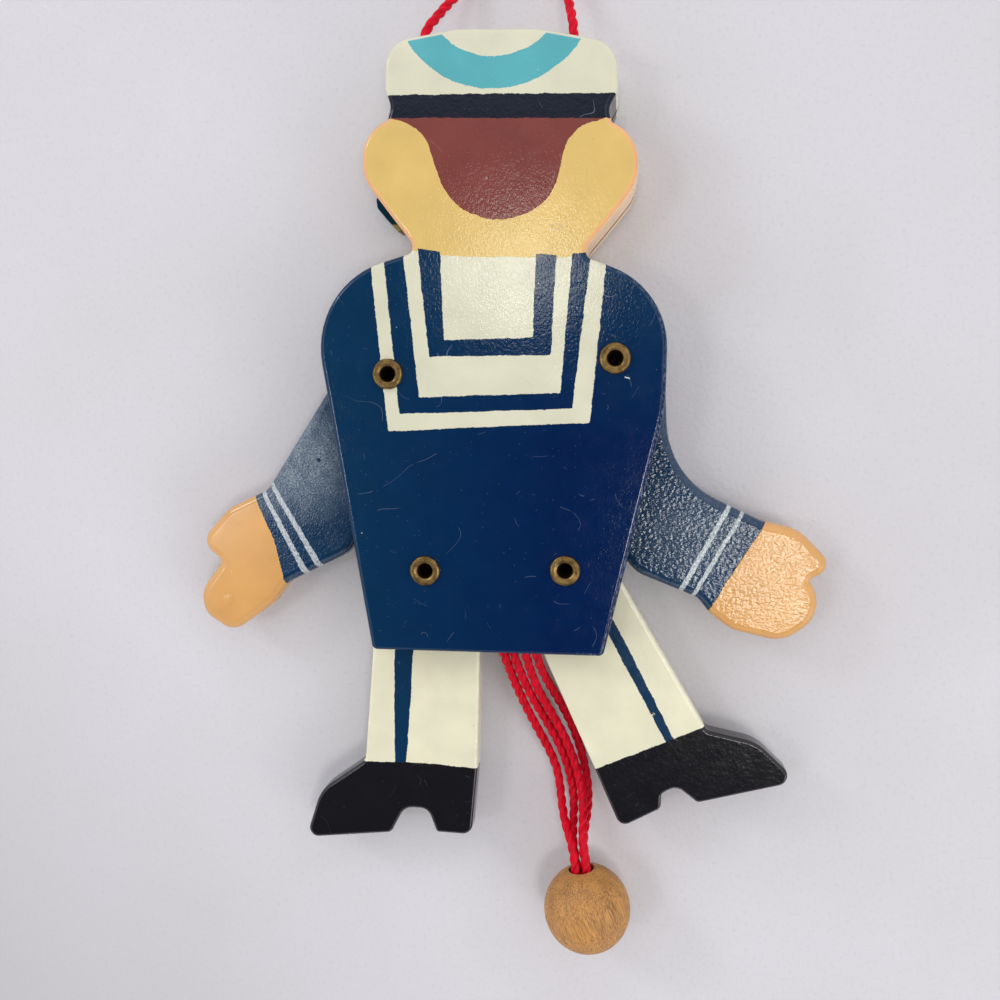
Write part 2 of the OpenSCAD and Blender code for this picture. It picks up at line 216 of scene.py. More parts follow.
# Smooth curve through the route, straight over its first and last stretch, as points at an even step
def smoothPath(route, step):
    knots = route[1:-1]
    gaps = np.linalg.norm(np.diff(knots, axis=0), axis=1)
    count = len(knots)
    matrix = np.zeros((count, count))
    target = np.zeros((count, 3))
    matrix[0, 0] = matrix[-1, -1] = 1
    target[0], target[-1] = [end / np.linalg.norm(end) for end in (route[1] - route[0], route[-1] - route[-2])]
    for i in range(1, count - 1):
        before, after = gaps[i - 1], gaps[i]
        matrix[i, i - 1:i + 2] = after, 2 * (before + after), before
        coming, going = (knots[i] - knots[i - 1]) / before, (knots[i + 1] - knots[i]) / after
        target[i] = 3 * (after * coming + before * going)
    slopes = np.linalg.solve(matrix, target)
    path = [route[0]]
    for i in range(count - 1):
        for s in np.linspace(0, 1, cordSpec["perStretch"], endpoint=False):
            path.append((2 * s**3 - 3 * s**2 + 1) * knots[i] + (s**3 - 2 * s**2 + s) * gaps[i] * slopes[i]
                        + (3 * s**2 - 2 * s**3) * knots[i + 1] + (s**3 - s**2) * gaps[i] * slopes[i + 1])
    path = np.array(path + [knots[-1], route[-1]])
    along = np.concatenate([[0], np.cumsum(np.linalg.norm(np.diff(path, axis=0), axis=1))])
    even = np.linspace(0, along[-1], round(along[-1] / step) + 1)
    return np.stack([np.interp(even, along, path[:, k]) for k in range(3)], axis=1), along[-1]


# Tube with the section of three plies that turn about each other
def cordPiece(name, route, body, node):
    route = np.array(route, float) * mm
    step = cordSpec["step"] * mm
    path, length = smoothPath(route, step)
    radius = cordSpec["diameter"] / 2 * mm
    ply = cordSpec["plyShare"] * radius
    offset = radius - ply
    around = cordSpec["around"]
    share = math.pi / cordSpec["plies"]
    mesh = bmesh.new()
    uvLayer = mesh.loops.layers.uv.new("cord")
    tangents = np.gradient(path, axis=0)
    tangents /= np.linalg.norm(tangents, axis=1)[:, None]
    across = np.cross(tangents[0], (0, 0, 1.0))
    rings = []
    for i, (point, ahead) in enumerate(zip(path, tangents)):
        across = across - ahead * across.dot(ahead)
        across /= np.linalg.norm(across)
        up = np.cross(across, ahead)
        turn = 2 * math.pi * i * cordSpec["step"] / cordSpec["lay"]
        ring = []
        for k in range(around):
            angle = 2 * math.pi * k / around
            fromPly = (angle + share) % (2 * share) - share
            reach = offset * math.cos(fromPly) + math.sqrt(ply**2 - (offset * math.sin(fromPly)) ** 2)
            spin = angle - turn
            ring.append(mesh.verts.new(point + reach * (across * math.cos(spin) + up * math.sin(spin))))
        rings.append(ring)
    for i in range(len(rings) - 1):
        for k in range(around):
            n = (k + 1) % around
            face = mesh.faces.new((rings[i][k], rings[i + 1][k], rings[i + 1][n], rings[i][n]))
            face.smooth = True
            spots = ((i, k), (i + 1, k), (i + 1, k + 1), (i, k + 1))
            for loop, (row, col) in zip(face.loops, spots):
                loop[uvLayer].uv = (row * cordSpec["step"], col / around * cordSpec["plies"])
    mesh.faces.new(rings[0])
    mesh.faces.new(rings[-1])
    bmesh.ops.recalc_face_normals(mesh, faces=mesh.faces)
    piece = addPiece(name, mesh, redCord, body, node)


# Spun and twisted polyester cord: fine slanting fibres on every ply, a soft silky gloss
cordLook = {"fibre": (0.9, 0.13, 1), "shade": (2.5, 0.7, 1), "span": (0.7, 1.3), "tones": ("#AE0018", "#E6042A"),
            "bump": 0.07}
redCord, tree, shader = newMaterial("twisted_polyester_cord", **{"Roughness": 0.42, "Specular IOR Level": 0.13})
spot = addNode(tree, "ShaderNodeUVMap", uv_map="cord")
fibre = grain(tree, spot, cordLook["fibre"], 3.0)
light = calc(tree, "ADD", fibre, grain(tree, spot, cordLook["shade"]))
feed(tree, shader, {"Base Color": tones(tree, ramp(tree, light, *cordLook["span"]), *cordLook["tones"]),
                    "Normal": bump(tree, fibre, cordLook["bump"])})

for limb in limbs:
    cordPiece(f"{limb}_twisted_string", routes[limb], "pull", f"{limb}_string")
cordPiece("hanging_twisted_cord", routes["hanging"], "body", "hanging_cord")
print("cords made")

# Painted outlines, on the back of the toy. Shapes are listed counter-clockwise.
pivots = {"left_arm": (-22.5, 28.8), "right_arm": (23.3, 31.7), "left_leg": (-15.1, -11.4),
          "right_leg": (13.7, -10.8)}
stringHoles = {"left_arm": (-15.63, 33.8), "right_arm": (16.43, 36.7), "left_leg": (-8.23, -6.4),
               "right_leg": (5.04, -5.8)}
levels = {"front": 0.8, "gap": 5.3, "limbFront": 5.5, "limbBack": 10.5, "back": 12.8, "top": 17.3}
paint = {
    # The deep navy is partly a dark spot, partly painted shade that stands for a dark reflection on the torso
    "navy": "#08304F", "darkSpotAndReflectionNavy": "#011D48", "cream": "#D8D6BC", "trouser": "#E4E0C2", "white": "#C6CDCB",
    # The haze colour is a painted sheen: it stands for the hazy reflection on the sleeves
    "blueWhite": "#C0C6C7", "sleeveSheen": "#8A979E", "band": "#181D29", "hair": "#7C403A", "skin": "#DCBB70",
    # The pale wall colour is partly paint, partly painted light on the side walls
    "peach": "#E8AE78", "hand": "#D7A15F", "teal": "#58ABB1", "black": "#151418", "wall": "#FBD3A6",
    "ribbon": "#12303F", "olive": "#8A7C48", "blush": "#D98A70", "mouth": "#A8322E", "eye": "#1B1A1C",
    "seam": "#1C1511",
}
brushEdge = 0.07


# Distance in millimetres to the right of the straight line from a to b, seen from the back
def edgeDistance(tree, place, a, b):
    ahead = (Vector((*b, 0)) - Vector((*a, 0))).normalized()
    right = Vector((ahead.y, -ahead.x, 0))
    along = vectorCalc(tree, "DOT_PRODUCT", place, right, out="Value")
    return calc(tree, "SUBTRACT", along, right.dot(Vector((*a, 0))))


# Distance outside a shape with straight sides, or to the right of an open line that turns right
def shapeDistance(tree, place, corners, closed=True, softness=0.5):
    ends = corners[1:] + corners[:1] if closed else corners[1:]
    turn = "SMOOTH_MAX" if closed else "SMOOTH_MIN"
    joined = None
    for a, b in zip(corners, ends):
        distance = edgeDistance(tree, place, a, b)
        joined = distance if joined is None else calc(tree, turn, joined, distance, softness)
    return joined


# Distance outside a round spot
def roundDistance(tree, place, centre, radius):
    return calc(tree, "SUBTRACT", vectorCalc(tree, "DISTANCE", place, (*centre, 0), out="Value"), radius)


# Paint mask from a distance: 1 where it is negative, with an edge as sharp as a brush leaves
def inside(tree, distance, width=brushEdge):
    return calc(tree, "MULTIPLY_ADD", distance, -1 / width, 0.5, use_clamp=True)


def outside(tree, distance, width=brushEdge):
    return inside(tree, distance, -width)


def inShape(tree, place, corners, **settings):
    return inside(tree, shapeDistance(tree, place, corners, **settings))


def inRound(tree, place, centre, radius, width=brushEdge):
    return inside(tree, roundDistance(tree, place, centre, radius), width)


# Mask between two circles about one centre
def inRing(tree, place, ring):
    return times(tree, inRound(tree, place, ring["centre"], ring["outer"]),
                 outside(tree, roundDistance(tree, place, ring["centre"], ring["inner"])))


# Lays a coat of paint over the coats below it, with its own thickness
def coat(tree, painted, mask, colour, thickness=1.0):
    painted["colour"] = cover(tree, mask, painted["colour"], colour)
    painted["height"] = blend(tree, mask, painted["height"], thickness)


# Line y = f(x) drawn by points, as the distance above it. Low and high bound the line's heights.
def aboveLine(tree, place, points, low, high):
    spot = axes(tree, place)
    left, right = points[0][0], points[-1][0]
    curve = addNode(tree, "ShaderNodeFloatCurve", {"Value": ramp(tree, spot["X"], left, right)}, out=None)
    line = curve.mapping.curves[0].points
    shares = [((x - left) / (right - left), (y - low) / (high - low)) for x, y in points]
    line[0].location, line[1].location = shares[0], shares[-1]
    for share in shares[1:-1]:
        line.new(*share)
    curve.mapping.update()
    return calc(tree, "SUBTRACT", spot["Y"], calc(tree, "MULTIPLY_ADD", curve.outputs[0], high - low, low))


# What all the painted pieces share: the place, the place in plan with a hand-painted wobble, and the eased edges.
# A wobble is the grain, detail and reach of a noise. The ramps run over how level the surface lies.
groundSpec = {"wobbles": [(2.4, 2.0, 0.5), (0.4, 1.0, 0.3)], "easedFrom": (0.15, 0.55), "easedTo": (0.985, 0.9),
              "wall": (0.5, 0.2)}


def paintGround(tree):
    place = placeOn(tree)
    plan = vectorCalc(tree, "MULTIPLY", place, (1, 1, 0))
    for size, detail, reach in groundSpec["wobbles"]:
        centred = vectorCalc(tree, "SUBTRACT", grain(tree, place, size, detail, "Color"), (0.5, 0.5, 0.5))
        plan = vectorCalc(tree, "ADD", plan, vectorCalc(tree, "MULTIPLY", centred, (reach, reach, 0)))
    facing = axes(tree, addNode(tree, "ShaderNodeTexCoord", out="Normal"))["Z"]
    lift = calc(tree, "ABSOLUTE", facing)
    eased = times(tree, ramp(tree, lift, *groundSpec["easedFrom"]), ramp(tree, lift, *groundSpec["easedTo"]))
    return {"place": place, "plan": plan, "facing": facing, "lift": lift, "eased": eased,
            "wall": ramp(tree, lift, *groundSpec["wall"])}


# Few small spots: a cell has one only if its own random value is below the share
def specks(tree, place, cell, radius, share, softness=0.3):
    spots = {"Vector": scaled(tree, place, 1 / cell), "Scale": 1}
    cells = addNode(tree, "ShaderNodeTexVoronoi", spots, out=None).outputs
    chosen = axes(tree, cells["Color"])["X"]
    near = inside(tree, calc(tree, "SUBTRACT", cells["Distance"], radius / cell), softness * radius / cell)
    return times(tree, near, calc(tree, "LESS_THAN", chosen, share))


# Fine curved lint and scratches: thin contour lines of one noise, kept where another is high
def lint(tree, place, size, width, keep, gateSize=0.45, gateEdge=0.03):
    away = calc(tree, "ABSOLUTE", calc(tree, "SUBTRACT", grain(tree, place, size, 1.0), 0.5))
    return times(tree, ramp(tree, away, width, 0), patches(tree, place, size * gateSize, 1.0, (keep, keep + gateEdge)))


# Dirt and painted glints on the paint in the order they are laid on: the kind, how it is drawn, the sizes for that,
# and its colour
dirtAndGlints = [
    ("light", specks, (2.6, 0.13, 0.16), "#C9CCD2"),
    ("lint", lint, (6.4, 0.003, 0.64), "#9FA6B4"),
    # The fine light specks are partly dust, partly painted glints of the gloss
    ("fineDustAndGlints", specks, (1.1, 0.1, 0.3), "#9FA6B4"),
    ("hair", lint, (14, 0.002, 0.59), "#9FA6B4"),
    ("dark", specks, (3.1, 0.12, 0.14), "#4A4638"),
]
finishSpec = {"mottle": (9, 3.0, (0.3, 0.7), (0.93, 1.05)), "wornAndLitEdges": ((0.5, 0.9, 0.5), 3.0, (0.5, 0.6)),
              "shine": (3, 3.0, (0.3, 0.7)), "specular": 0.5, "peel": 1.3}


# Finishes a painted piece: mottling, dust and painted glints, scuffs and painted highlights on the edges, grain
# showing through, and gloss
def paintFinish(tree, shader, ground, painted, look, dustAndGlints, edgeWearAndShine, smooth=None):
    place = ground["place"]
    shaded = scaled(tree, painted["colour"], patches(tree, place, *finishSpec["mottle"]))
    for kind, draw, sizes, colour in dirtAndGlints:
        shaded = cover(tree, times(tree, draw(tree, place, *sizes), dustAndGlints[kind]), shaded, colour)
    # Lighter eased edges: partly wear, partly a painted highlight where the edges catch the light
    wornAndLitEdges = times(tree, ground["eased"], patches(tree, place, *finishSpec["wornAndLitEdges"]))
    if edgeWearAndShine["mask"] is not None:
        wornAndLitEdges = times(tree, wornAndLitEdges, edgeWearAndShine["mask"])
    shaded = cover(tree, times(tree, wornAndLitEdges, edgeWearAndShine["strength"]), shaded, edgeWearAndShine["colour"])
    # Sanded edges and side walls soaked up the paint and are duller
    if look["dull"] > 0:
        sides = calc(tree, "MAXIMUM", ground["eased"], ground["wall"])
        dull = calc(tree, "MAXIMUM", times(tree, sides, look["dull"]), painted["seam"])
        feed(tree, shader, {"Specular IOR Level": ramp(tree, dull, 0, 1, (finishSpec["specular"], 0))})
    waves = [grain(tree, place, look["grain"], look["detail"]), grain(tree, place, finishSpec["peel"], 1.0)]
    if smooth is not None:
        end, endDepth = smooth
        waves = [times(tree, wave, ramp(tree, end, 0, 1, (1, endDepth))) for wave in waves]
    height = 0
    for wave, depth in zip(waves + [painted["height"]], (*look["depth"], look["coat"])):
        height = calc(tree, "MULTIPLY_ADD", wave, depth, height)
    feed(tree, shader, {"Base Color": shaded, "Roughness": patches(tree, place, *finishSpec["shine"], look["gloss"]),
                        "Normal": bump(tree, height, 1, 1)})


# Copy of a CAD node with its outer edges eased, as a sanded board has. Eases are pairs of a level and a width.
easeSpec = {"weld": 0.002, "sameLevel": 0.01, "straight": math.radians(0.3), "corner": math.radians(40),
            "holeReach": 2.6, "segments": 5, "profile": 0.5, "flat": 0.9999}


def easedPiece(node, body, eases, material, holes):
    mesh = bmesh.new()
    mesh.from_mesh(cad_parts[node].data)
    bmesh.ops.remove_doubles(mesh, verts=mesh.verts, dist=easeSpec["weld"] * mm)
    bmesh.ops.dissolve_limit(mesh, angle_limit=easeSpec["straight"], verts=mesh.verts, edges=mesh.edges)
    for level, width in eases:
        chosen = []
        for edge in mesh.edges:
            if any(abs(v.co.z - level * mm) > easeSpec["sameLevel"] * mm for v in edge.verts):
                continue
            if len(edge.link_faces) != 2 or edge.calc_face_angle(0) < easeSpec["corner"]:
                continue
            middle = (edge.verts[0].co + edge.verts[1].co) / 2
            if any((middle.xy - Vector(h) * mm).length < easeSpec["holeReach"] * mm for h in holes):
                continue
            chosen.append(edge)
        bmesh.ops.bevel(mesh, geom=chosen, offset=width * mm, offset_type="OFFSET", affect="EDGES", material=-1,
                        segments=easeSpec["segments"], profile=easeSpec["profile"], clamp_overlap=False,
                        loop_slide=False)
    mesh.normal_update()
    flat = [f for f in mesh.faces if abs(f.normal.z) > easeSpec["flat"]]
    bmesh.ops.triangulate(mesh, faces=flat, quad_method="BEAUTY", ngon_method="BEAUTY")
    # The boards stay flat up to their eased edges
    normals = []
    for vert in mesh.verts:
        board = next((f.normal for f in vert.link_faces if abs(f.normal.z) > easeSpec["flat"]), None)
        if board is None:
            normals.append(sum((f.normal * f.calc_area() for f in vert.link_faces), Vector()).normalized())
        else:
            normals.append(board.copy())
    for face in mesh.faces:
        face.smooth = True
    addPiece(f"painted_{node}", mesh, material, body, node, normals)


# Back of the toy: sailor's collar, hair and cap
backPaint = {
    "shapes": [
        ("cream", [(-26.7, 60), (-22.6, 17.2), (18.4, 19.0), (22.3, 60)]),
        ("navy", [(-23.9, 60), (-20.2, 20.7), (14.9, 21.8), (19.3, 60)]),
        ("cream", [(-19.9, 60), (-16.1, 24.1), (12.5, 24.9), (15.4, 60)]),
        ("navy", [(-16.8, 60), (-14.0, 32.2), (10.6, 32.4), (12.0, 60)]),
        ("cream", [(-11.9, 60), (-10.9, 35.5), (7.0, 35.8), (7.8, 60)]),
    ],
    "neck": [(-40, 54.2), (-17.5, 53.3), (-13.6, 52.7), (-10.8, 52.2), (2.4, 51.7), (17.2, 51.7), (19, 52.6),
             (40, 54.6)],
    "neckHeights": (40, 60),
    "barsOverSkin": -0.6,
    "hair": [
        (-24, 79.2), (-21.5, 78.9), (-20.0, 78.7), (-17.3, 77.5), (-14.6, 75.0), (-13.1, 71.5), (-12.2, 68.6),
        (-10.7, 65.1), (-8.3, 62.1), (-4.7, 60.0), (-0.5, 59.0), (3.6, 59.4), (7.8, 61.1), (10.7, 64.2),
        (12.1, 67.9), (12.7, 71.3), (14.1, 74.1), (16.4, 76.2), (19.9, 77.3), (24, 77.9)],
    "hairHeights": (50, 90),
    "band": [(-30, 79.4), (0.4, 78.4), (30, 77.3)],
    "cap": [(-30, 83.7), (0.4, 83.0), (30, 82.0)],
    "arc": {"centre": (-0.5, 104.5), "inner": 14.5, "outer": 20.6},
    "arcLevel": (0.93, 0.985),
    "nick": [(25.2, 28.1), (25.2, 27.85), (26.2, 27.6), (26.2, 27.85)],
    "darkReflectionX": (-34, 12), "darkReflectionY": (50, 15), "peachEdge": (0.999, 0.95), "seam": (0.65, 0.45),
    "wearAndShineX": (14, 20), "wearAndShineY": (32, 22), "wearAndShineEnd": (52, 49),
}


def capCoats(tree, painted, plan):
    coat(tree, painted, inShape(tree, plan, backPaint["band"], closed=False), paint["band"])
    coat(tree, painted, inShape(tree, plan, backPaint["cap"], closed=False), paint["cream"], 0.5)


def skinMask(tree, plan, bars=None):
    rise = aboveLine(tree, plan, backPaint["neck"], *backPaint["neckHeights"])
    if bars is not None:
        rise = calc(tree, "MULTIPLY_ADD", bars, backPaint["barsOverSkin"], rise)
    return outside(tree, rise)


# Colours that the head and body have on the back and on the side walls
def backLayers(tree, ground):
    plan = ground["plan"]
    spot = axes(tree, ground["place"])
    # Painted shade: the navy turns deep towards the lower right of the torso, for the dark reflection there
    darkReflection = times(tree, ramp(tree, spot["X"], *backPaint["darkReflectionX"]), ramp(tree, spot["Y"], *backPaint["darkReflectionY"]))
    body = cover(tree, darkReflection, paint["navy"], paint["darkSpotAndReflectionNavy"])
    painted = {"colour": body, "height": 0}
    bars = 0
    for name, corners in backPaint["shapes"]:
        mask = inShape(tree, plan, corners)
        isNavy = name == "navy"
        coat(tree, painted, mask, body if isNavy else paint[name], 0 if isNavy else 1)
        bars = blend(tree, mask, bars, 1 if isNavy else 0)
    # The navy bars run a little way over the skin
    edge = ramp(tree, ground["lift"], *backPaint["peachEdge"])
    # The side walls are a pale peach: partly their paint, partly painted light that brightens them
    flesh = cover(tree, ground["wall"], cover(tree, edge, paint["skin"], paint["peach"]), paint["wall"])
    coat(tree, painted, skinMask(tree, plan, bars), flesh, 0.5)
    hair = aboveLine(tree, plan, backPaint["hair"], *backPaint["hairHeights"])
    coat(tree, painted, outside(tree, hair), paint["hair"])
    capCoats(tree, painted, plan)
    level = ramp(tree, ground["facing"], *backPaint["arcLevel"])
    coat(tree, painted, times(tree, inRing(tree, plan, backPaint["arc"]), level), paint["teal"])
    coat(tree, painted, inShape(tree, ground["place"], backPaint["nick"], softness=0.05), paint["white"], 0)
    fromGap = calc(tree, "ABSOLUTE", calc(tree, "SUBTRACT", spot["Z"], levels["gap"]))
    painted["seam"] = ramp(tree, fromGap, *backPaint["seam"])
    coat(tree, painted, painted["seam"], paint["seam"], 0)
    return painted


# Enamel brushed on wood: glossy and a little wavy, with the brush's edges and the wood's grain just showing
boardLook = {"grain": (0.45, 0.62, 0.5), "detail": 2, "depth": (0.026, 0.012), "gloss": (0.09, 0.14),
             "coat": 0.03, "dull": 0.65}
backMaterial, tree, shader = newMaterial("brushed_enamel_on_wood_back", IOR=1.5)
ground = paintGround(tree)
painted = backLayers(tree, ground)
spot = axes(tree, ground["place"])
# Lighter scuffs along the right edge of the torso: partly wear, partly a painted highlight on the eased edge
lowerDown = ramp(tree, spot["Y"], *backPaint["wearAndShineY"], (0.5, 1))
rightEdgeWearAndHighlight = times(tree, ramp(tree, spot["X"], *backPaint["wearAndShineX"]), lowerDown)
rightEdgeWearAndHighlight = times(tree, rightEdgeWearAndHighlight, ramp(tree, spot["Y"], *backPaint["wearAndShineEnd"]))
paintFinish(tree, shader, ground, painted, boardLook,
            {"light": 0.75, "lint": 0.3, "fineDustAndGlints": 0.14, "hair": 0.35, "dark": 0.35},
            {"mask": rightEdgeWearAndHighlight, "strength": 0.55, "colour": "#7D879A"})
eyeletHoles = list(pivots.values())
easedPiece("back_plate", "body", [(levels["top"], 1.0), (levels["back"], 0.15)], backMaterial,
           eyeletHoles)

# Front of the toy, which the photograph doesn't show: a plain doll's face, a blouse with a neckerchief
frontPaint = {
    "collar": [
        ("cream", [(-19, 53), (0, 26), (18.5, 52.5), (0, 70)]),
        ("navy", [(-16, 53), (0, 30), (15.6, 52.5), (0, 70)]),
        ("cream", [(-14.4, 53), (0, 32.4), (14, 52.5), (0, 70)]),
    ],
    "scarf": [[(-3.4, 31), (-6.2, 12), (-1.4, 15), (0.6, 32)], [(-0.6, 32), (1.4, 14), (6, 11), (3.2, 31)]],
    "knot": ((0, 31.4), 3.1),
    "fringe": [(-26, 70), (-20, 71), (-17, 72), (-13, 74.6), (-6, 76.2), (2, 75.6), (9, 76.4), (14, 74.2),
               (18, 71.6), (26, 70)],
    "eyes": [((-6.4, 67.2), 1.15), ((6.4, 66.8), 1.15)],
    "glints": [((-6.0, 67.7), 0.32), ((6.8, 67.3), 0.32)],
    "cheeks": [((-11.2, 62.4), 3.2), ((11.2, 62.0), 3.2)],
    "blushEdge": (0.3, -2.2), "blushStrength": 0.6,
    "nose": ((0, 63.9), 1.3),
    "smile": {"centre": (0, 64.2), "inner": 5.4, "outer": 6.2},
    "smileBelow": [(-10, 60.6), (10, 60.6)],
    "ribbon": ((-24.6, 63.4), 6),
    "tip": [(-30, 61.2), (-10, 59.6)],
    "ribbonEdge": [(-23.5, 67), (-15, 55)],
    "backFrom": (-0.6, -0.4),
}
frontMaterial, tree, shader = newMaterial("brushed_enamel_on_wood_front", IOR=1.5)
ground = paintGround(tree)
plan = ground["plan"]
walls = backLayers(tree, ground)
painted = {"colour": paint["navy"], "height": 0}
for name, corners in frontPaint["collar"]:
    coat(tree, painted, inShape(tree, plan, corners), paint[name], 0 if name == "navy" else 1)
for corners in frontPaint["scarf"]:
    coat(tree, painted, inShape(tree, plan, corners), paint["teal"], 1.5)
coat(tree, painted, inRound(tree, plan, *frontPaint["knot"]), paint["teal"], 2)
coat(tree, painted, skinMask(tree, plan), paint["skin"], 0.5)
for centre, radius in frontPaint["cheeks"]:
    blush = ramp(tree, roundDistance(tree, plan, centre, radius), *frontPaint["blushEdge"])
    coat(tree, painted, times(tree, blush, frontPaint["blushStrength"]), paint["blush"], 0.5)
for key, name in (("eyes", "eye"), ("glints", "white")):
    for centre, radius in frontPaint[key]:
        coat(tree, painted, inRound(tree, plan, centre, radius), paint[name])
coat(tree, painted, inRound(tree, plan, *frontPaint["nose"]), paint["blush"])
low = outside(tree, edgeDistance(tree, plan, *frontPaint["smileBelow"]))
coat(tree, painted, times(tree, inRing(tree, plan, frontPaint["smile"]), low), paint["mouth"])
fringe = aboveLine(tree, plan, frontPaint["fringe"], *backPaint["hairHeights"])
coat(tree, painted, outside(tree, fringe), paint["hair"])
capCoats(tree, painted, plan)
# The ribbon's end past the left ear is dark with a gold-olive tip
ribbon = inRound(tree, plan, *frontPaint["ribbon"])
tip = outside(tree, edgeDistance(tree, plan, *frontPaint["tip"]))
twoTone = cover(tree, tip, paint["ribbon"], paint["olive"])
coat(tree, walls, ribbon, twoTone)
ribbonSide = outside(tree, edgeDistance(tree, plan, *frontPaint["ribbonEdge"]))
coat(tree, painted, times(tree, ribbon, ribbonSide), twoTone)
isBack = ramp(tree, ground["facing"], *frontPaint["backFrom"])
coat(tree, painted, isBack, walls["colour"], walls["height"])
painted["seam"] = times(tree, isBack, walls["seam"])
paintFinish(tree, shader, ground, painted, boardLook,
            {"light": 0.5, "lint": 0.3, "fineDustAndGlints": 0.12, "hair": 0.2, "dark": 0.35},
            {"mask": None, "strength": 0.1, "colour": "#9A9078"})
easedPiece("front_plate", "body", [(levels["front"], 0.3), (levels["gap"], 0.3)], frontMaterial,
           eyeletHoles)
easedPiece("head_spacer", "body", [(levels["gap"], 0.3), (levels["back"], 0.1)], backMaterial, [])
print("plates made")

# Limbs: the sleeve or trouser colour, then stripes, then the hand or shoe beyond an open line that turns right.
# A mark is a spot's centre, radius, colour, thickness and edge width. A sleeve's sheen is a painted reflection: a
# centre, radius and strength.
limbPaint = {
    "left_arm": {
        "base": "navy", "end": "hand", "line": [(-54.8, 4.9), (-49.7, -6.7), (-46.9, -19)], "stripe": "blueWhite",
        "stripes": [[(-51.6, 7.3), (-38.9, -14.9), (-37.8, -14.1), (-50.8, 7.8)],
                    [(-53.3, 5.2), (-41.2, -18.1), (-40.1, -17.4), (-52.5, 5.7)]],
        "marks": [((-39.4, 10.9), 0.45, "darkSpotAndReflectionNavy", 0, 0.15), ((-60.3, -20), 0.9, "hand", 5, 0.8)],
        "sleeveSheen": ((-44, 11), 15, 0.95), "grain": (0.4, 0.4, 0.4), "depth": (0.035, 0.03), "endDepth": 0.1,
        "gloss": (0.14, 0.22)},
    "right_arm": {
        "base": "navy", "end": "hand", "line": [(41.2, -22.9), (47.6, -11.8), (56.4, 2.4)], "stripe": "white",
        "stripes": [[(48.1, 5.6), (35.2, -18.4), (36.1, -18.9), (49, 5.1)],
                    [(51.5, 5.2), (37.9, -19.3), (38.6, -19.7), (52.2, 4.8)]],
        "sleeveSheen": ((39, -4), 14, 0.22), "grain": (0.8, 0.6, 0.7), "depth": (0.11, 0.05), "endDepth": 0.9,
        "gloss": (0.12, 0.2)},
    "left_leg": {
        "base": "trouser", "end": "black", "line": [(-36, -53.7), (-18, -54.8), (0, -54.4)], "stripe": "navy",
        "stripes": [[(-22.6, 0), (-23.5, -40), (-23.4, -60), (-21.4, -60), (-19.9, -41), (-17.4, 0)]],
        "grain": (0.6, 0.9, 0.7), "depth": (0.02, 0.02), "endDepth": 1.5, "gloss": (0.15, 0.2)},
    "right_leg": {
        "base": "trouser", "end": "black", "line": [(14, -57.2), (26.5, -51.5), (48, -42)], "stripe": "navy",
        "stripes": [[(10, -2), (23.1, -26.4), (39.4, -61.2), (43, -60), (25.7, -26.4), (12.6, -2)]],
        "chip": ((31.8, -42.2), 0.55), "grain": (0.6, 0.9, 0.7), "depth": (0.02, 0.02), "endDepth": 1.5,
        "gloss": (0.15, 0.2)},
}
limbKinds = {
    "arm": {"slot": "body_paint", "ease": 1.8, "strength": 0.1, "edgeWearAndShine": "#8A93A2",
            "dustAndGlints": {"light": 0.6, "lint": 0.18, "fineDustAndGlints": 0.1, "hair": 0.06, "dark": 0.1}},
    # The trousers' lighter eased edges are partly wear, partly a painted highlight
    "leg": {"slot": "trouser_paint", "ease": 0.75, "strength": 0.5, "edgeWearAndShine": "#F1ECD8",
            "dustAndGlints": {"light": 0.35, "lint": 0.18, "fineDustAndGlints": 0.1, "hair": 0.06, "dark": 0.6}},
}
limbLook = {"detail": 1.5, "coat": 0.03, "dull": 0, "frontEase": 0.6}
limbWearAndSheen = {
    "sheenEdge": -0.7, "clouds": (3.4, 4.0, (0.3, 0.6), (0.45, 1), 0.6),
    "sheenPatches": ((0.4, 0.3, 0.3), 3.0, (0.35, 0.62), (0.2, 1)), "streaks": ((0.3, 0.6, 0.5), 3.0, (0.3, 0.6), (0.35, 1)),
    "chip": (0.35, 2.0, (0.5, 0.56)),
}


